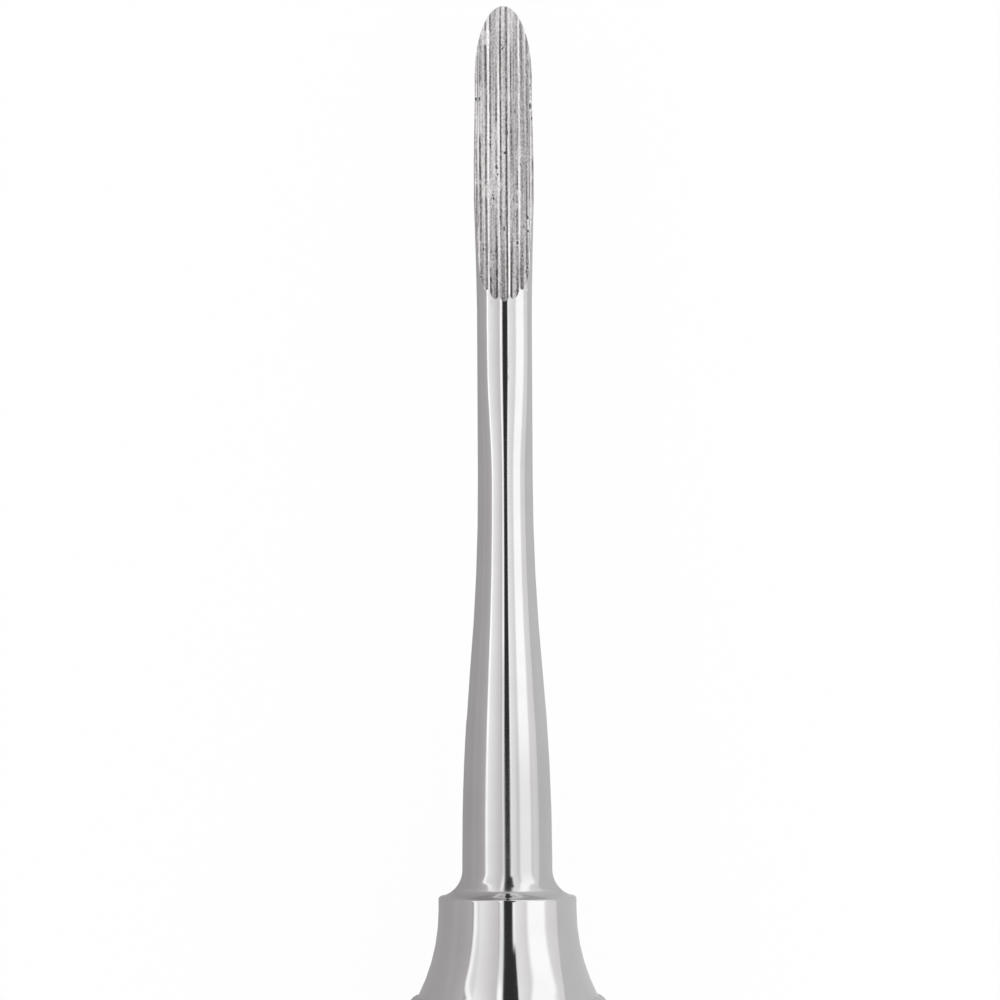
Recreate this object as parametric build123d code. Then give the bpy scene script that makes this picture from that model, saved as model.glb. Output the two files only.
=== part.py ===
from build123d import *
import math
import os

# A straight dental root elevator, turned and ground from one bar of stainless steel.
# The axis runs along Y with the blade towards +Y, and the serrated face of the blade looks up, +Z.
# All sizes are in millimetres. A station is a distance along the axis, counted back from the tip.

# Blade, as seen from above
blade_length = 19.8          # tip to the end of the longest groove
blade_half_width = 2.0       # at the widest station
blade_widest_station = 12.5
nose_half_width = 1.9
nose_length = 4.7            # the rounded nose is half an ellipse

# Face of the blade
face_slope = 2.5             # degrees, the ridges fall away towards the tip
face_root_height = 0.22      # of the middle ridges above the axis, where the run-out starts
runout_radius = 9.0          # arc that the grinding wheel leaves on its way out of the bar
runout_sweep = 50.0          # degrees, enough to clear the bar
hollow_radius = 20.0         # the face is barely hollow across its width
groove_count = 5
groove_pitch = 0.68
groove_depth = 0.22

# Back of the blade
tip_thickness = 0.42
back_axis_height = 2.4       # of the axis that the rounded back is ground about
back_taper_length = 13.0     # from the tip to where the back meets the bar

# Crown of the bar, which is lower than round at the blade
crown_height = 1.2           # above the axis
round_station = 28.0         # from here on the bar is round
blank_tail = 1.0             # straight round end that leads the blank into the turned shank

# Shank
shank_length = 39.55         # end of the blade to the shoulder's upper face
slender_radius = 1.83
slender_length = 11.7
root_radius = 3.0            # where the shank meets the shoulder
root_length = 0.6

# Shoulder and neck
cove_length = 1.75           # hollow that opens from the root to the shoulder's rim
cove_rise = 1.35
rim_land = 0.05              # flat left on the rim
rim_edge_radius = 0.2
neck_length = 0.9
flare_radius = 12.5          # hollow sweep from the neck outwards
flare_angle = 27.0           # degrees, straight slope that the sweep ends in
turn_radius = 4.0            # rounded turn from the slope into the grip

# Grip and butt
handle_length = 91.0         # shoulder's upper face to the butt
grip_radius = 7.2            # between the ribs
butt_round_radius = 4.4
rib_count = 12
rib_height = 0.48
rib_half_width = 0.85
rib_nose = 0.9               # from the start of the slope to the middle of a rib's rounded nose
rib_tail = 2.2               # from the middle of a rib's rounded tail to the butt's rounding

shoulder_station = blade_length + shank_length
shoulder_radius = root_radius + cove_rise + rim_land + rim_edge_radius
overall_length = shoulder_station + handle_length

# A groove is an arc through two ridges, as deep as stated.
groove_radius = (groove_depth ** 2 + (groove_pitch / 2) ** 2) / (2 * groove_depth)

# The run-out starts where its arc brings the middle groove to the bar's crown at blade_length.
slope = math.radians(face_slope)
runout_cosine = ((face_root_height + runout_radius * math.cos(slope) - crown_height)
                 / (runout_radius + groove_depth))
runout_reach = (runout_radius + groove_depth) * math.sqrt(1 - runout_cosine ** 2)
face_length = blade_length - runout_reach + runout_radius * math.sin(slope)
face_tip_height = face_root_height - face_length * math.tan(slope)

# The slope takes up what the sweep and the turn leave of the rise from neck to grip.
flare_slope = math.radians(flare_angle)
bend_rise = (flare_radius + turn_radius) * (1 - math.cos(flare_slope))
bend_run = (flare_radius + turn_radius) * math.sin(flare_slope)
flare_start = shoulder_station + neck_length
grip_start = flare_start + bend_run + (grip_radius - shoulder_radius - bend_rise) / math.tan(flare_slope)

# Each rib is a round bar sunk into the grip, so its radius follows from its height and width.
rib_radius = (rib_half_width ** 2 + rib_height ** 2) / (2 * rib_height)
rib_sink = rib_radius - rib_height
rib_step = 360 / rib_count

# The tool lies on the two ribs beside its lowest line.
axis_height = (grip_radius - rib_sink) * math.cos(math.radians(rib_step / 2)) + rib_radius

# Well beyond the tool on every side, for the forms that trim it
clear = 4 * grip_radius

# Body of the grinding wheel above its grooves, well past the blade
wheel_body = grip_radius


def at(radius, station):
    """Point of a turned outline, in the XY plane with the tip at the origin."""
    return (radius, -station)


def flare_end():
    """Point where the hollow sweep gives way to the straight slope."""
    return at(shoulder_radius + flare_radius * (1 - math.cos(flare_slope)),
              flare_start + flare_radius * math.sin(flare_slope))


def turn_start():
    """Point where the slope gives way to the rounded turn into the grip."""
    return at(grip_radius - turn_radius * (1 - math.cos(flare_slope)),
              grip_start - turn_radius * math.sin(flare_slope))


def leaving(start, end):
    """Arc that runs along the axis at its start."""
    return TangentArc(start, end, tangent=(0, -1))


def joining(start, end):
    """Arc that runs along the axis at its end, drawn from that end."""
    return TangentArc(end, start, tangent=(0, 1))


def ogee(radius_a, station_a, radius_b, station_b):
    """Two arcs that lead smoothly from one straight stretch to another."""
    middle = at((radius_a + radius_b) / 2, (station_a + station_b) / 2)
    return [leaving(at(radius_a, station_a), middle), joining(middle, at(radius_b, station_b))]


def blank_section(station, half_width, crown):
    """Section of the blank for the blade: a half-round back below a lower crown."""
    top = EllipticalCenterArc((0, 0), half_width, crown, start_angle=0, arc_size=180)
    back = CenterArc((0, 0), half_width, 180, 180)
    across = Plane(origin=(0, -station, 0), x_dir=(1, 0, 0), z_dir=(0, -1, 0))
    return across * make_face([top, back])


def blade_blank():
    """Blank that the blade is ground from: it swells gently, then waists to the round shank."""
    swell_station = (nose_length + blade_widest_station) / 2
    waist_station = (blade_widest_station + blade_length) / 2
    rise_station = (blade_length + round_station) / 2
    swell = (nose_half_width + blade_half_width) / 2
    waist = (blade_half_width + slender_radius) / 2
    rise = (crown_height + slender_radius) / 2
    return loft([
        blank_section(0, nose_half_width, crown_height),
        blank_section(nose_length, nose_half_width, crown_height),
        blank_section(swell_station, swell, crown_height),
        blank_section(blade_widest_station, blade_half_width, crown_height),
        blank_section(waist_station, waist, crown_height),
        blank_section(blade_length, slender_radius, crown_height),
        blank_section(rise_station, slender_radius, rise),
        blank_section(round_station, slender_radius, slender_radius),
        blank_section(round_station + blank_tail, slender_radius, slender_radius),
    ])


def shank_outline():
    """Long soft taper behind the slender stretch, and the cove that lands on the shoulder."""
    taper_start = blade_length + slender_length
    cove_start = shoulder_station - cove_length
    taper_end = cove_start - root_length
    slender = Line(at(slender_radius, round_station + blank_tail), at(slender_radius, taper_start))
    taper = ogee(slender_radius, taper_start, root_radius, taper_end)
    root = Line(at(root_radius, taper_end), at(root_radius, cove_start))
    cove = leaving(root @ 1, at(root_radius + cove_rise, shoulder_station))
    return [slender] + taper + [root, cove]


def handle_outline():
    """Shoulder rim with its broken edge, neck, flare, grip and rounded butt."""
    edge_start = shoulder_radius - rim_edge_radius
    butt_start = overall_length - butt_round_radius
    rim = Line(at(edge_start - rim_land, shoulder_station), at(edge_start, shoulder_station))
    rim_edge = TangentArc(rim @ 1, at(shoulder_radius, shoulder_station + rim_edge_radius),
                          tangent=(1, 0))
    neck = Line(rim_edge @ 1, at(shoulder_radius, flare_start))
    flare = leaving(neck @ 1, flare_end())
    cone = Line(flare_end(), turn_start())
    turn = joining(turn_start(), at(grip_radius, grip_start))
    grip = Line(at(grip_radius, grip_start), at(grip_radius, butt_start))
    butt_round = leaving(grip @ 1, at(grip_radius - butt_round_radius, overall_length))
    butt = Line(butt_round @ 1, at(0, overall_length))
    return [rim, rim_edge, neck, flare, cone, turn, grip, butt_round, butt]


def turned_body():
    """All that is turned on the lathe, from the slender stretch back to the butt."""
    outline = shank_outline() + handle_outline()
    closing = Polyline(outline[-1] @ 1, at(0, round_station + blank_tail), outline[0] @ 0)
    return revolve(make_face(Wire(outline + closing.edges())), Axis.Y, 360)


def blade_plan():
    """Prism with the blade's plan: a half-elliptical nose that opens wide behind it."""
    nose = EllipticalCenterArc((0, -nose_length), nose_half_width, nose_length,
                               start_angle=0, arc_size=180)
    sides = Polyline(
        nose @ 1,
        (-clear, -nose_length),
        (-clear, -2 * overall_length),
        (clear, -2 * overall_length),
        (clear, -nose_length),
        nose @ 0,
    )
    return extrude(make_face(Wire([nose] + sides.edges())), clear, both=True)


def blade_back():
    """Form that thins the back: turned about an axis above the tool's, it grows from the tip."""
    tip_radius = back_axis_height - face_tip_height + tip_thickness
    full_radius = back_axis_height + blade_half_width
    back = joining(at(tip_radius, 0), at(full_radius, back_taper_length))
    rest = Polyline(
        at(full_radius, back_taper_length),
        at(2 * clear, back_taper_length),
        at(2 * clear, 2 * overall_length),
        at(0, 2 * overall_length),
        at(0, 0),
        at(tip_radius, 0),
    )
    form = revolve(make_face(Wire([back] + rest.edges())), Axis.Y, 360)
    return Pos(0, 0, back_axis_height) * form


def groove_centre(across):
    """Centre of the groove that lies this far from the middle of the face."""
    hollow = hollow_radius - math.sqrt(hollow_radius ** 2 - across ** 2)
    return Pos(across, hollow + groove_radius - groove_depth)


def wheel_section():
    """Edge of the serrated grinding wheel: round grooves side by side on a shallow arc."""
    outermost = groove_pitch * (groove_count - 1) / 2
    above = Rectangle(groove_pitch, wheel_body, align=(Align.CENTER, Align.MIN))
    left = Rectangle(wheel_body, wheel_body, align=(Align.MAX, Align.MIN))
    right = Rectangle(wheel_body, wheel_body, align=(Align.MIN, Align.MIN))
    section = groove_centre(-outermost) * left + groove_centre(outermost) * right
    for index in range(groove_count):
        centre = groove_centre(index * groove_pitch - outermost)
        section += [centre * Circle(groove_radius), centre * above]
    return section


def face_cut():
    """All that the wheel takes: down the sloping face, then up and out of the bar."""
    side_view = Plane(origin=(0, 0, 0), x_dir=(0, -1, 0), z_dir=(-1, 0, 0))
    overrun = nose_length / 2
    start = (-overrun, face_tip_height - overrun * math.tan(slope))
    straight = Line(start, (face_length, face_root_height))
    climb = JernArc(straight @ 1, straight % 1, runout_radius, runout_sweep)
    path = side_view * Wire([straight, climb])
    across = Plane(origin=path @ 0, x_dir=(1, 0, 0), z_dir=path % 0)
    return sweep(across * wheel_section(), path=path)


def rib():
    """One rib of the grip, beside +X: a round bar with ball ends, sunk in the slope and the grip."""
    end_x, end_y = flare_end()
    nose = (end_x + rib_nose * math.sin(flare_slope) - rib_sink * math.cos(flare_slope),
            end_y - rib_nose * math.cos(flare_slope) - rib_sink * math.sin(flare_slope))
    depth = grip_radius - rib_sink
    bend = (depth, nose[1] - (depth - nose[0]) / math.tan(flare_slope))
    tail = at(depth, overall_length - butt_round_radius - rib_tail)
    path = Polyline(nose, bend, tail)
    section = Plane(origin=path @ 0, z_dir=path % 0) * Circle(rib_radius)
    bar = sweep(section, path=path, transition=Transition.RIGHT)
    return bar + [Pos(path @ end) * Sphere(rib_radius) for end in (0, 1)]


def ribs():
    """Copies of the rib all round, with a gap centred on the lowest line."""
    one = rib()
    return [Rot(0, 90 + (index + 0.5) * rib_step, 0) * one for index in range(rib_count)]


def root_elevator():
    """The finished tool, lying on its ribs with the middle of its length over the origin."""
    blade = (blade_blank() & blade_plan() & blade_back()) - face_cut()
    body = turned_body() + blade + ribs()
    return Pos(0, overall_length / 2, axis_height) * body


os.makedirs("parts", exist_ok=True)
export_step(root_elevator(), "parts/root_elevator.step")
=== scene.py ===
import bpy
import math
from types import SimpleNamespace
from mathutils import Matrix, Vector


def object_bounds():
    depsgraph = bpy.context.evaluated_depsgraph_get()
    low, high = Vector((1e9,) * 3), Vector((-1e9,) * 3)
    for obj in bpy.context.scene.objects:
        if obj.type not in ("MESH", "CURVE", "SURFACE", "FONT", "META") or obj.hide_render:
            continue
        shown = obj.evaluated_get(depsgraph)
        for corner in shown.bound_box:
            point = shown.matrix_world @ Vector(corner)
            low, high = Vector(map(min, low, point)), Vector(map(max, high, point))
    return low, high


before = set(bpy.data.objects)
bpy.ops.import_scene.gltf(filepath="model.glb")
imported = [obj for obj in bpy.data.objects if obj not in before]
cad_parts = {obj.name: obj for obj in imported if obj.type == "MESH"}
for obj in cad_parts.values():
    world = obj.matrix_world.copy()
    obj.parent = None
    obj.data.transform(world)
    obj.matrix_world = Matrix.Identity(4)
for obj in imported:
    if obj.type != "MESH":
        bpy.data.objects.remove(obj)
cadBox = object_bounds()
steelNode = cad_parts["root_elevator"]
tipY = cadBox[1].y * 1000       # millimetres, which the steel's shader works in
axisHeight = 7.4521             # millimetres from the surface it lies on up to the tool's axis
degrees = 180 / math.pi
white = (1, 1, 1, 1)
print("frame loaded, tip at", round(tipY, 3), "mm")


# a socket that stands in a sum, where each sign adds a Math node
class Wire:
    def __init__(self, graph, socket):
        self.graph = graph
        self.socket = socket

    def __add__(self, other):
        return self.graph.maths("ADD", self, other)

    def __radd__(self, other):
        return self.graph.maths("ADD", other, self)

    def __sub__(self, other):
        return self.graph.maths("SUBTRACT", self, other)

    def __rsub__(self, other):
        return self.graph.maths("SUBTRACT", other, self)

    def __mul__(self, other):
        return self.graph.maths("MULTIPLY", self, other)

    def __rmul__(self, other):
        return self.graph.maths("MULTIPLY", other, self)

    def __truediv__(self, other):
        return self.graph.maths("DIVIDE", self, other)

    def __rtruediv__(self, other):
        return self.graph.maths("DIVIDE", other, self)

    def __pow__(self, other):
        return self.graph.maths("POWER", self, other)

    def __lt__(self, other):
        return self.graph.maths("LESS_THAN", self, other)

    def __gt__(self, other):
        return self.graph.maths("GREATER_THAN", self, other)

    def __abs__(self):
        return self.graph.maths("ABSOLUTE", self)


# the nodes of one material or of the world
class Graph:
    def __init__(self, tree):
        self.tree = tree
        tree.nodes.clear()

    def put(self, kind, settings=None, inputs=None, output=0):
        node = self.tree.nodes.new(kind)
        for name, value in (settings or {}).items():
            if name == "stops":
                self.fillRamp(node.color_ramp, value)
            else:
                setattr(node, name, value)
        for name, value in (inputs or {}).items():
            if isinstance(value, Wire):
                self.tree.links.new(value.socket, node.inputs[name])
            else:
                node.inputs[name].default_value = value
        return Wire(self, node.outputs[output]) if node.outputs else None

    def fillRamp(self, ramp, stops):
        while len(ramp.elements) < len(stops):
            ramp.elements.new(0.5)
        for element, (place, level) in zip(ramp.elements, stops):
            element.position = place
            element.color = (level, level, level, 1)

    def maths(self, operation, *values):
        return self.put("ShaderNodeMath", {"operation": operation}, dict(enumerate(values)))

    def vector(self, operation, *values):
        return self.put("ShaderNodeVectorMath", {"operation": operation}, dict(enumerate(values)))

    def split(self, vector):
        node = self.put("ShaderNodeSeparateXYZ", {}, {0: vector}).socket.node
        return [Wire(self, axis) for axis in node.outputs]

    def joined(self, x, y, z):
        return self.put("ShaderNodeCombineXYZ", {}, {0: x, 1: y, 2: z})

    # 0 at low, 1 at high and straight between; low may be the larger
    def straight(self, value, low, high):
        return self.put("ShaderNodeMapRange", {}, {"Value": value, "From Min": low, "From Max": high})

    # the same with an S-curve between
    def smooth(self, value, low, high):
        return self.put("ShaderNodeMapRange", {"interpolation_type": "SMOOTHSTEP"},
                        {"Value": value, "From Min": low, "From Max": high})

    def noise(self, place, lumps, detail=2.0, rough=0.5):
        scaled = self.vector("MULTIPLY", place, lumps)
        return self.put("ShaderNodeTexNoise", {}, {
            "Vector": scaled, "Scale": 1.0, "Detail": detail, "Roughness": rough})

    # how far a point is from each spot, 1 at the spot's edge
    def spots(self, x, y, places):
        return [(((x - across) / wide) ** 2 + ((y - along) / long) ** 2) ** 0.5
                for across, along, wide, long in places]

    def blend(self, factor, first, second):
        return self.put("ShaderNodeMix", {"data_type": "RGBA"}, {0: factor, 6: first, 7: second}, 2)

    def blendVectors(self, factor, first, second):
        return self.put("ShaderNodeMix", {"data_type": "VECTOR"}, {0: factor, 4: first, 5: second}, 1)


def between(first, second, share):
    return first + (second - first) * share


def newMaterial(name):
    material = bpy.data.materials.new(name)
    material.use_nodes = True
    return material, Graph(material.node_tree)


# Steel. First the part's own form in millimetres, where a station is counted from the tip.
profile = {
    "blade": {"nose": 4.7, "widest": 12.5, "end": 19.8, "round": 32.0},     # stations
    "halfWidths": {"nose": 1.9, "widest": 2.0, "shank": 1.83},
    "crown": 1.2,                       # the blade's, above the axis
    "grooves": 5,
    "pitch": 0.68,
    "face": {"lean": 0.0436, "runOut": 15.63, "radius": 9.1, "steepest": 0.8},   # ends in the wheel's arc
    "faceEnd": (20.05, 19.9),
    "backTop": -0.1,                    # of the thinned back, from the axis
    "backEnd": (14.0, 12.5),
    "cove": (57.3, 59.35),              # hollow before the shoulder
    "leanFrom": (28, 29),               # from here the bends below give the lean, before it the mesh
    "turned": (66.2, 65.7),             # the plain turned form gives way to the ribs
    "butt": (144.8, 145.0),
    # where the outline bends: from, to, and the change of its lean, which is the sine of its slope
    "bends": [
        (31.5, 44.25, 0.0915),          # the shank swells
        (44.25, 57.0, -0.0915),
        (57.6, 59.35, 0.967),           # the hollow rises to the rim
        (59.35, 59.351, 0.033),
        (59.35, 59.55, -1.0),           # round the rim's edge
        (60.25, 65.925, 0.454),         # the neck flares
        (100, 101, -0.454),             # somewhere along the ribs, where the lean isn't used
        (145.95, 150.35, -1.0),         # round the butt
    ],
}

# A pair of limits says where something starts to show and where it is there in full.
steelLook = {
    # lumps to the millimetre across, along and upwards, then detail and roughness
    "textures": {
        "patches": ((0.35, 0.35, 0.35), 3.0),
        "lines": ((9.0, 0.12, 9.0), 4.0, 0.6),
        "waves": ((0.5, 0.16, 0.5), 1.0),
        "slowWander": ((1.0, 0.15, 0.0), 1.0),
        "quickWander": ((1.5, 1.6, 0.0), 2.0),
        "unbroken": ((1.5, 0.35, 0.0), 3.0, 0.6),
        "worn": ((0.8, 0.5, 0.0), 2.0),
        "ragged": ((6.0, 6.0, 0.0), 2.0),
        "fine": ((6.5, 0.10, 0.0), 2.0, 0.6),
        "broad": ((2.6, 0.10, 0.0), 2.0),
        "grain": ((9.0, 6.0, 9.0), 3.0, 0.65),
        "coarse": ((2.4, 1.4, 2.4), 3.0, 0.6),
    },
    "polish": {
        "colour": (0.620, 0.619, 0.624, 1),
        "shade": (0.564, 0.563, 0.568, 1),      # a touch darker, for the dull patches and lines and before the shoulder
        "shares": {"patches": 0.4, "lines": 0.3, "beforeShoulder": 0.6},
        "roughness": 0.055,
        "dullRoughness": 0.10,
        "beforeShoulderRoughness": 0.06,
        "patches": (0.35, 0.7),
        "beforeShoulderStart": (46, 53),               # darker and rougher from here to the shoulder
        "beforeShoulderEnd": (59.6, 58.5),
        "waveHeight": 0.004,                    # mm, slow unevenness left by hand polishing
        "lineHeight": 0.00012,                  # mm
        # colour of the painted shade streaks
        "paintedShade": (0.254, 0.254, 0.254, 1),
        "paintedShadeShare": 0.2,
        # streaks of painted shade laid over reflected highlights to dim them: degrees from the top, limits of
        # the distance from there, of the start and of the end, then strength
        "streaks": [
            (-4.9, (3.2, 1.8), (41.5, 45), (58.5, 57.5), 1.7),
            (24, (14, 9), (46, 53), (58.5, 57.5), 1.2),
            (-27, (5, 2.5), (59.4, 59.6), (152, 151), 1.2),
            (-4.9, (3.2, 1.8), (59.4, 59.6), (65.5, 64), 1.7),
        ],
        # the cove's normal is eased across the tool, which keeps the highlights wide down the hollow
        "coveEase": {"growth": 6, "most": 0.8, "fade": (0.85, 0.74)},
    },
    "face": {
        "light": (1.0, 0.99, 0.99, 1),
        "dark": (0.089, 0.086, 0.084, 1),
        "roughness": 0.40,
        "crestRoughness": 0.22,
        "pitRoughness": 0.60,
        "grainDepth": 0.008,                    # mm
        "slowWander": 0.06,                     # mm, how far the grooves stray
        "quickWander": 0.04,
        "grooveTilt": 0.6,
        # torn spots and rubbed places: across, station, half width and half length in mm
        "torn": [(-0.47, 10.77, 0.10, 0.15), (-0.41, 11.25, 0.07, 0.09), (0.90, 15.83, 0.09, 0.13),
                 (1.60, 14.20, 0.07, 0.11), (1.60, 15.05, 0.08, 0.11), (1.53, 17.50, 0.08, 0.09),
                 (1.20, 16.70, 0.07, 0.09), (-1.53, 18.10, 0.08, 0.08), (1.80, 6.70, 0.08, 0.20)],
        "rubbed": [(1.66, 14.65, 0.15, 0.42), (0.80, 13.40, 0.16, 0.24), (-0.50, 8.60, 0.24, 0.90),
                   (-1.15, 2.10, 0.35, 0.55)],
        "rimPlace": 1.5,                        # of the painted highlight round a torn spot, in spot sizes
        "flankPlace": 0.56,                     # of the painted shade line, 0 on a groove's floor, 1 on its crest
        "flankUneven": 0.5,
        "brinkPlace": 1.93,                     # of the right edge's dark specks, mm across
        "pitGrain": 0.3,                        # how much the grain roughens the pits' outlines
        "limits": {
            "sunk": (0.012, 0.05),              # mm below the round blank
            "facing": (0.12, 0.24),             # upward part of the normal
            "lanes": (0.18, 0.08),              # mm past the outermost grooves
            "unbroken": (0.34, 0.50),
            "worn": (0.57, 0.67),
            "torn": (1.1, 0.7),
            "rim": (0.45, 0.1),
            "rubbed": (1.2, 0.7),
            "crest": (0.81, 0.92),
            "flankShade": (0.30, 0.13),
            "fine": (0.38, 0.62),
            "broad": (0.36, 0.64),
            "specks": (0.40, 0.56),
            "brink": (0.11, 0.03),
            "brinkFacing": (0.2, 0.5),
            "pits": (0.335, 0.295),
            "bareAcross": (-1.38, -1.46),       # stretch of the left edge without a dark line
            "bareStart": (4.8, 5.6),
            "bareEnd": (9.0, 8.2),
            "runOut": (15.0, 19.6),             # the grooves' ends are darker
            "lastOfIt": (19.2, 20.2),
            "thinTip": (3.5, 1.0),
            # from here the painted crest highlight is brighter
            "brightCrests": (13, 17),
            "besideEnd": (14.0, 11.5),          # the sides of the blade's front are satin too
            "besideHeight": (-0.55, -0.3),      # mm, down to here
        },
        "tone": 0.585,
        # what each mark adds to the tone, the flanks' painted shade and the rims' painted highlight among
        # them
        "amounts": {"fine": 0.34, "flankShade": -0.39, "broad": 0.10, "grain": 1.1, "runOut": -0.12,
                    "thinTip": 0.10, "pits": -0.6, "brink": -0.45, "rubbed": 0.06, "rim": 0.30},
        "wornLoss": 0.6,                        # of streaks and dark lines where the face is worn
        "tornLoss": 0.85,
        # the painted highlight along the crests: its tone, what it gains further up the face, and its
        # unevenness
        "crest": {"tone": 0.58, "further": 0.15, "uneven": 0.4},
        "gain": 1.1,
    },
}


def texture(graph, at, name):
    return graph.noise(at.place, *steelLook["textures"][name])


# where a point lies on the tool, and whether it is on the ground face
def measure(graph):
    blade, halfWidths = profile["blade"], profile["halfWidths"]
    limits = steelLook["face"]["limits"]
    at = SimpleNamespace()
    at.place = graph.vector("MULTIPLY", graph.put("ShaderNodeTexCoord", {}, {}, "Object"), (1000, 1000, 1000))
    at.x, y, z = graph.split(at.place)
    at.station = tipY - y
    at.height = z - axisHeight
    at.meshNormal = graph.put("ShaderNodeTexCoord", {}, {}, "Normal")
    _, at.meshLean, at.facing = graph.split(at.meshNormal)

    # the section is round, but over the blade its crown is lower
    swell = graph.smooth(at.station, blade["nose"], blade["widest"])
    waist = graph.smooth(at.station, blade["widest"], blade["end"])
    width = halfWidths["nose"] + (halfWidths["widest"] - halfWidths["nose"]) * swell \
        + (halfWidths["shank"] - halfWidths["widest"]) * waist
    roundness = graph.smooth(at.station, blade["end"], blade["round"])
    crown = between(profile["crown"], halfWidths["shank"], roundness)
    at.ratio = 1 + (width / crown - 1) * (at.height > 0)
    at.tall = at.height * at.ratio
    sunk = graph.smooth(width - (at.x * at.x + at.tall * at.tall) ** 0.5, *limits["sunk"])
    at.ground = sunk * graph.smooth(at.facing, *limits["facing"]) \
        * graph.smooth(at.station, *profile["faceEnd"])
    return at


# grooves of the face, each with a crest on either side that carries a painted highlight, and what has worn or
# torn them
def markFace(graph, at):
    look = steelLook["face"]
    limits = look["limits"]
    count, pitch = profile["grooves"], profile["pitch"]
    marks = SimpleNamespace()
    wander = (texture(graph, at, "slowWander") - 0.5) * look["slowWander"] \
        + (texture(graph, at, "quickWander") - 0.5) * look["quickWander"]
    # ten lanes more keep the number above zero
    marks.lane = graph.maths("FRACT", (at.x + wander) / pitch + count / 2 + 10)
    marks.rise = abs(marks.lane - 0.5) * 2
    past, inside = limits["lanes"]
    marks.inLanes = graph.smooth(abs(at.x), pitch * count / 2 + past, pitch * count / 2 + inside)

    ragged = texture(graph, at, "ragged") - 0.5
    torn = [spread + ragged for spread in graph.spots(at.x, at.station, look["torn"])]
    rubbed = [spread + ragged for spread in graph.spots(at.x, at.station, look["rubbed"])]
    marks.torn = sum(graph.smooth(spread, *limits["torn"]) for spread in torn)
    # painted highlight in a ring round each torn spot
    marks.rims = sum(graph.smooth(abs(spread - look["rimPlace"]), *limits["rim"]) for spread in torn)
    marks.rubbed = sum(graph.smooth(spread, *limits["rubbed"]) for spread in rubbed)

    unbroken = graph.smooth(texture(graph, at, "unbroken"), *limits["unbroken"])
    worn = graph.smooth(texture(graph, at, "worn"), *limits["worn"])
    marks.worn = graph.maths("MAXIMUM", worn, marks.rubbed)
    marks.crest = graph.smooth(marks.rise, *limits["crest"]) * unbroken * (1 - marks.worn) * marks.inLanes
    return marks


# the form's own normal replaces the facets' on every turned stretch, and the grooves' on the face
def exactNormal(graph, at, marks):
    lean = sum(change * graph.straight(at.station, start, end) for start, end, change in profile["bends"])
    lean = between(at.meshLean, lean, graph.smooth(at.station, *profile["leanFrom"]))
    face = profile["face"]
    pastRunOut = graph.maths("MAXIMUM", at.station - face["runOut"], 0.0)
    climb = graph.maths("MINIMUM", pastRunOut / face["radius"] + face["lean"], face["steepest"])
    lean = between(lean, climb, at.ground)

    ease = steelLook["polish"]["coveEase"]
    coveStart, coveEnd = profile["cove"]
    inCove = (at.station > coveStart) * (at.station < coveEnd)
    steep = lean * lean
    eased = graph.maths("MINIMUM", ease["growth"] * steep * steep * steep, ease["most"])
    squeeze = 1 - inCove * eased * graph.smooth(lean, *ease["fade"])

    turned = graph.vector("NORMALIZE", graph.joined(at.x * squeeze, 0.0, at.tall * at.ratio))
    tilt = (0.5 - marks.lane) * steelLook["face"]["grooveTilt"]
    groove = graph.vector("NORMALIZE", graph.joined(tilt, 0.0, 1.0))
    across, _, up = graph.split(graph.blendVectors(at.ground, turned, groove))
    rest = graph.maths("MAXIMUM", 1 - lean * lean, 0.0) ** 0.5
    exact = graph.joined(across * rest, lean, up * rest)

    back = (at.height < profile["backTop"]) * graph.smooth(at.station, *profile["backEnd"]) * (1 - at.ground)
    known = graph.smooth(at.station, *profile["turned"]) * (1 - back) \
        + graph.smooth(at.station, *profile["butt"])
    bent = graph.vector("NORMALIZE", graph.blendVectors(known, at.meshNormal, exact))
    return graph.put("ShaderNodeVectorTransform",
                     {"vector_type": "NORMAL", "convert_from": "OBJECT", "convert_to": "WORLD"}, {0: bent})


# mirror polish with fine lines, slow waves and streaks of painted shade over its highlights
def polish(graph, at):
    look = steelLook["polish"]
    shares = look["shares"]
    patches = graph.smooth(texture(graph, at, "patches"), *look["patches"])
    lines = texture(graph, at, "lines")
    # darker and rougher before the shoulder, which dims the highlights there
    beforeShoulder = graph.smooth(at.station, *look["beforeShoulderStart"]) * graph.smooth(at.station, *look["beforeShoulderEnd"])
    dull = patches * shares["patches"] + lines * shares["lines"] + beforeShoulder * shares["beforeShoulder"]
    turn = graph.maths("ARCTAN2", at.x, at.tall) * degrees
    # streaks of painted shade, each laid where a highlight is reflected
    paintedShade = 0
    for place, edge, start, end, strength in look["streaks"]:
        stretch = graph.smooth(at.station, *start) * graph.smooth(at.station, *end)
        paintedShade = paintedShade + graph.smooth(abs(turn - place), *edge) * stretch * strength
    skin = SimpleNamespace()
    skin.colour = graph.blend(dull, look["colour"], look["shade"])
    skin.colour = graph.blend(paintedShade * look["paintedShadeShare"], skin.colour, look["paintedShade"])
    skin.roughness = between(look["roughness"], look["dullRoughness"], patches * lines) \
        + look["beforeShoulderRoughness"] * beforeShoulder
    skin.relief = texture(graph, at, "waves") * look["waveHeight"] + lines * look["lineHeight"]
    return skin
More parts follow.
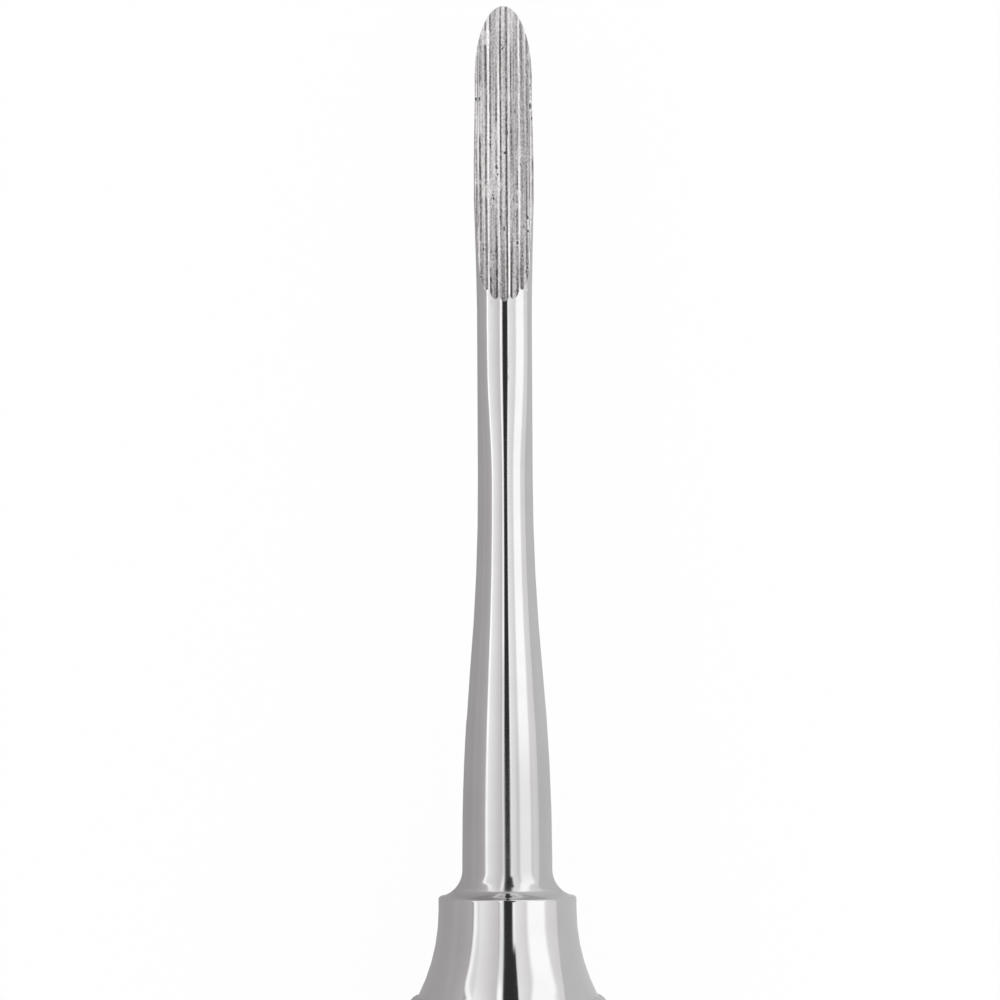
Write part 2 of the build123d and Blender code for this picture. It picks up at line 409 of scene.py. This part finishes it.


# painted highlights on the crests, painted shade in dark lines down both flanks of each groove, streaks,
# grain, torn pits and painted highlights round them
def grindFace(graph, at, marks):
    look = steelLook["face"]
    limits, amounts, crest = look["limits"], look["amounts"], look["crest"]
    fine = graph.smooth(texture(graph, at, "fine"), *limits["fine"])
    broad = graph.smooth(texture(graph, at, "broad"), *limits["broad"])
    grain = texture(graph, at, "grain")
    coarse = texture(graph, at, "coarse")
    bare = graph.smooth(at.x, *limits["bareAcross"]) * graph.smooth(at.station, *limits["bareStart"]) \
        * graph.smooth(at.station, *limits["bareEnd"])
    # painted shade: a dark line down both flanks of each groove, none on the left edge's bare stretch
    flankShade = graph.smooth(abs(marks.rise - look["flankPlace"]), *limits["flankShade"]) \
        * (1 + look["flankUneven"] * (broad - 0.5)) * marks.inLanes * (1 - bare)
    specks = graph.smooth(grain * 0.5 + coarse * 0.5, *limits["specks"])
    brink = graph.smooth(abs(at.x - look["brinkPlace"]), *limits["brink"]) * specks \
        * graph.smooth(at.facing, *limits["brinkFacing"])
    pits = graph.smooth(coarse + look["pitGrain"] * (grain - 0.5), *limits["pits"])
    runOut = graph.smooth(at.station, *limits["runOut"]) + graph.smooth(at.station, *limits["lastOfIt"])
    thinTip = graph.smooth(at.station, *limits["thinTip"])

    grooved = amounts["fine"] * (fine - 0.5) + amounts["flankShade"] * flankShade
    tone = look["tone"] + grooved * (1 - look["wornLoss"] * marks.worn) + amounts["broad"] * (broad - 0.5) \
        + amounts["grain"] * (grain - 0.5) + amounts["runOut"] * runOut + amounts["thinTip"] * thinTip \
        + amounts["pits"] * pits + amounts["brink"] * brink + amounts["rubbed"] * marks.rubbed \
        + amounts["rim"] * marks.rims
    # painted highlight along the crests
    crestHighlightTone = crest["tone"] + crest["further"] * graph.smooth(at.station, *limits["brightCrests"]) \
        + crest["uneven"] * (broad + grain - 1)
    tone = between(tone, crestHighlightTone, marks.crest) * (1 - look["tornLoss"] * marks.torn)
    ground = SimpleNamespace()
    ground.colour = graph.blend(tone * look["gain"], look["dark"], look["light"])
    ground.roughness = between(look["roughness"], look["pitRoughness"], pits) \
        + (look["crestRoughness"] - look["roughness"]) * marks.crest
    ground.relief = (grain - pits) * (1 - marks.crest) * look["grainDepth"]
    return ground


def makeSteel():
    limits = steelLook["face"]["limits"]
    material, graph = newMaterial("polishedSteel")
    at = measure(graph)
    marks = markFace(graph, at)
    skin = polish(graph, at)
    ground = grindFace(graph, at, marks)
    beside = graph.smooth(at.station, *limits["besideEnd"]) * graph.smooth(at.height, *limits["besideHeight"])
    satin = graph.maths("MAXIMUM", at.ground, beside)
    relief = skin.relief * (1 - at.ground) + ground.relief * at.ground
    bump = graph.put("ShaderNodeBump", {}, {
        "Strength": 1.0, "Distance": 0.001, "Height": relief, "Normal": exactNormal(graph, at, marks)})
    steel = graph.put("ShaderNodeBsdfPrincipled", {}, {
        "Base Color": graph.blend(satin, skin.colour, ground.colour), "Metallic": 1.0,
        "Roughness": between(skin.roughness, ground.roughness, satin), "Normal": bump})
    graph.put("ShaderNodeOutputMaterial", {}, {0: steel})
    return material


steelNode.data.materials.clear()
steelNode.data.materials.append(makeSteel())
print("steel finished")


# Floor
floorLook = {
    "size": 6.0,                        # metres, as are the places below
    "colour": (0.90, 0.90, 0.90, 1),
    "cameraWhite": 0.96,                # how far the floor is lifted to white, the rest carries the shadow
    "metalWhite": 0.9,
    "leftTone": 0.496,                  # what the metal sees of the floor, darker on the left
    "rightTone": 0.756,
    "leftTint": (1.0, 0.955, 0.963, 1),
    "seam": (-0.002, 0.002),            # from left to right
    "paintedContactShadow": 0.20,                     # painted shadow: how much darker the floor the metal sees is beside the tool
    "paintedContactShadowPlace": (0.012, 0.003),
    "faraway": 0.12,                    # how much lighter the left side is away from it
    "farawayPlace": (0.012, 0.08),
}


def makeFloor():
    look = floorLook
    half = look["size"] / 2
    corners = [(-half, -half, 0), (half, -half, 0), (half, half, 0), (-half, half, 0)]
    mesh = bpy.data.meshes.new("studioFloor")
    mesh.from_pydata(corners, [], [(0, 1, 2, 3)])
    floor = bpy.data.objects.new("studioFloor", mesh)
    bpy.context.scene.collection.objects.link(floor)
    material, graph = newMaterial("palePaper")
    toCamera = graph.put("ShaderNodeLightPath", {}, {}, "Is Camera Ray")
    rays = toCamera.socket.node.outputs
    toMetal = Wire(graph, rays["Is Glossy Ray"]) + Wire(graph, rays["Is Transmission Ray"])
    across = graph.split(graph.put("ShaderNodeTexCoord", {}, {}, "Object"))[0]
    side = graph.smooth(across, *look["seam"])
    # painted shadow beside the tool, seen only in the metal
    paintedContactShadow = look["paintedContactShadow"] * graph.smooth(abs(across), *look["paintedContactShadowPlace"])
    faraway = look["faraway"] * graph.smooth(abs(across), *look["farawayPlace"]) * (1 - side)
    tone = between(look["leftTone"], look["rightTone"], side) * (1 - paintedContactShadow + faraway)
    tint = graph.blend(graph.maths("MAXIMUM", side, toCamera), look["leftTint"], white)
    lift = toCamera * look["cameraWhite"] + toMetal * look["metalWhite"]
    paper = graph.put("ShaderNodeBsdfDiffuse", {}, {"Color": look["colour"]})
    glow = graph.put("ShaderNodeEmission", {}, {"Color": tint, "Strength": toCamera + toMetal * tone})
    surface = graph.put("ShaderNodeMixShader", {}, {0: lift, 1: paper, 2: glow})
    graph.put("ShaderNodeOutputMaterial", {}, {0: surface})
    mesh.materials.append(material)


makeFloor()
print("floor laid")


# Light: two long softboxes overhead with a narrow gap for the camera. Angles are in degrees.
lightLook = {
    "peak": 1.732,
    # angle from straight up, towards +X, and the level there
    "bands": [
        (-180, 0.488), (-95, 0.559), (-75, 0.598), (-59, 0.677),                    # room on the left
        (-57, 1.732), (-53.5, 1.732), (-51, 1.338), (-14, 0.866), (-12, 1.574), (-7.5, 1.574),
        (-5.5, 0.043), (7.5, 0.043),                                                # gap
        (9.5, 1.574), (13, 1.259), (30, 1.063), (36, 1.574), (62, 1.574), (68, 1.102), (92, 1.023),
        (95, 0.763),                                                                # room on the right
    ],
    "reach": (90, 84),                  # towards the tip or the butt, where the boxes end
    "tipwards": (0.0, 0.05),            # only this end has the spread, the wider gap and the glow
    # how much wider the boxes look at this angle along, except far out to the side
    "spread": {"amount": 0.45, "at": 50, "angle": (15, 50), "along": (30, 50)},
    "gap": {"level": 0.047, "left": (5.5, 7.0), "right": (13.0, 11.5), "start": (12, 22), "end": (72, 60)},
    "glow": {"level": 0.095, "along": (30, 48), "right": (-57, -64), "left": (-95, -70)},
    "room": 0.52,
    "roomTint": (1.0, 0.955, 0.963, 1),
    "boxTint": (0.995, 0.995, 1.0, 1),
    "tintLevels": (0.79, 1.42),
}


def makeLight():
    look = lightLook
    spread, gap, glow = look["spread"], look["gap"], look["glow"]
    world = bpy.data.worlds.new("studio")
    bpy.context.scene.world = world
    world.use_nodes = True
    graph = Graph(world.node_tree)
    x, y, z = graph.split(graph.put("ShaderNodeTexCoord", {}, {}, "Generated"))
    along = graph.maths("ARCTAN2", abs(y), (x * x + z * z) ** 0.5) * degrees
    angle = graph.maths("ARCTAN2", x, z) * degrees
    tipwards = graph.smooth(y, *look["tipwards"])

    farOut = graph.smooth(abs(angle), *spread["angle"]) * graph.smooth(along, *spread["along"])
    alongShare = along / spread["at"]
    across = angle / (1 + spread["amount"] * alongShare * alongShare * tipwards * (1 - farOut))
    stops = [((place + 180) / 360, level / look["peak"]) for place, level in look["bands"]]
    boxes = graph.put("ShaderNodeValToRGB", {"stops": stops}, {0: (across + 180) / 360}) * look["peak"]
    inGap = graph.smooth(across, *gap["left"]) * graph.smooth(across, *gap["right"]) \
        * graph.smooth(along, *gap["start"]) * graph.smooth(along, *gap["end"]) * tipwards
    inGlow = graph.smooth(along, *glow["along"]) * tipwards * graph.smooth(angle, *glow["right"]) \
        * graph.smooth(angle, *glow["left"])
    boxes = between(boxes, gap["level"], inGap) + glow["level"] * inGlow

    level = between(look["room"], boxes, graph.smooth(along, *look["reach"]))
    toCamera = graph.put("ShaderNodeLightPath", {}, {}, "Is Camera Ray")
    tint = graph.blend(graph.smooth(level, *look["tintLevels"]), look["roomTint"], look["boxTint"])
    background = graph.put("ShaderNodeBackground", {}, {
        "Color": graph.blend(toCamera, tint, white), "Strength": between(level, 1.0, toCamera)})
    graph.put("ShaderNodeOutputWorld", {}, {0: background})


makeLight()
bpy.context.scene.view_settings.view_transform = "Standard"
print("light set")


# Camera
cameraLook = {
    "aim": (-0.00036, -0.032967),       # metres from the tip to the middle of the picture, on the axis
    "height": 0.450,                    # metres above the tool's axis
    "picture": 1000,                    # pixels
    "scale": 15,                        # pixels to a millimetre at the axis
    "roll": 0.30,                       # degrees
    "sensor": 36,                       # millimetres
    "sees": (0.01, 20),                 # metres, the nearest and the farthest thing
}


def makeCamera():
    look = cameraLook
    acrossPicture = look["picture"] / look["scale"] / 1000
    camera = bpy.data.cameras.new("viewer")
    camera.sensor_width = look["sensor"]
    camera.lens = look["sensor"] * look["height"] / acrossPicture
    camera.clip_start, camera.clip_end = look["sees"]
    viewer = bpy.data.objects.new("viewer", camera)
    bpy.context.scene.collection.objects.link(viewer)
    viewer.location = (look["aim"][0], tipY / 1000 + look["aim"][1], axisHeight / 1000 + look["height"])
    viewer.rotation_euler = (0, 0, math.radians(-look["roll"]))
    bpy.context.scene.camera = viewer


makeCamera()
print("camera placed")
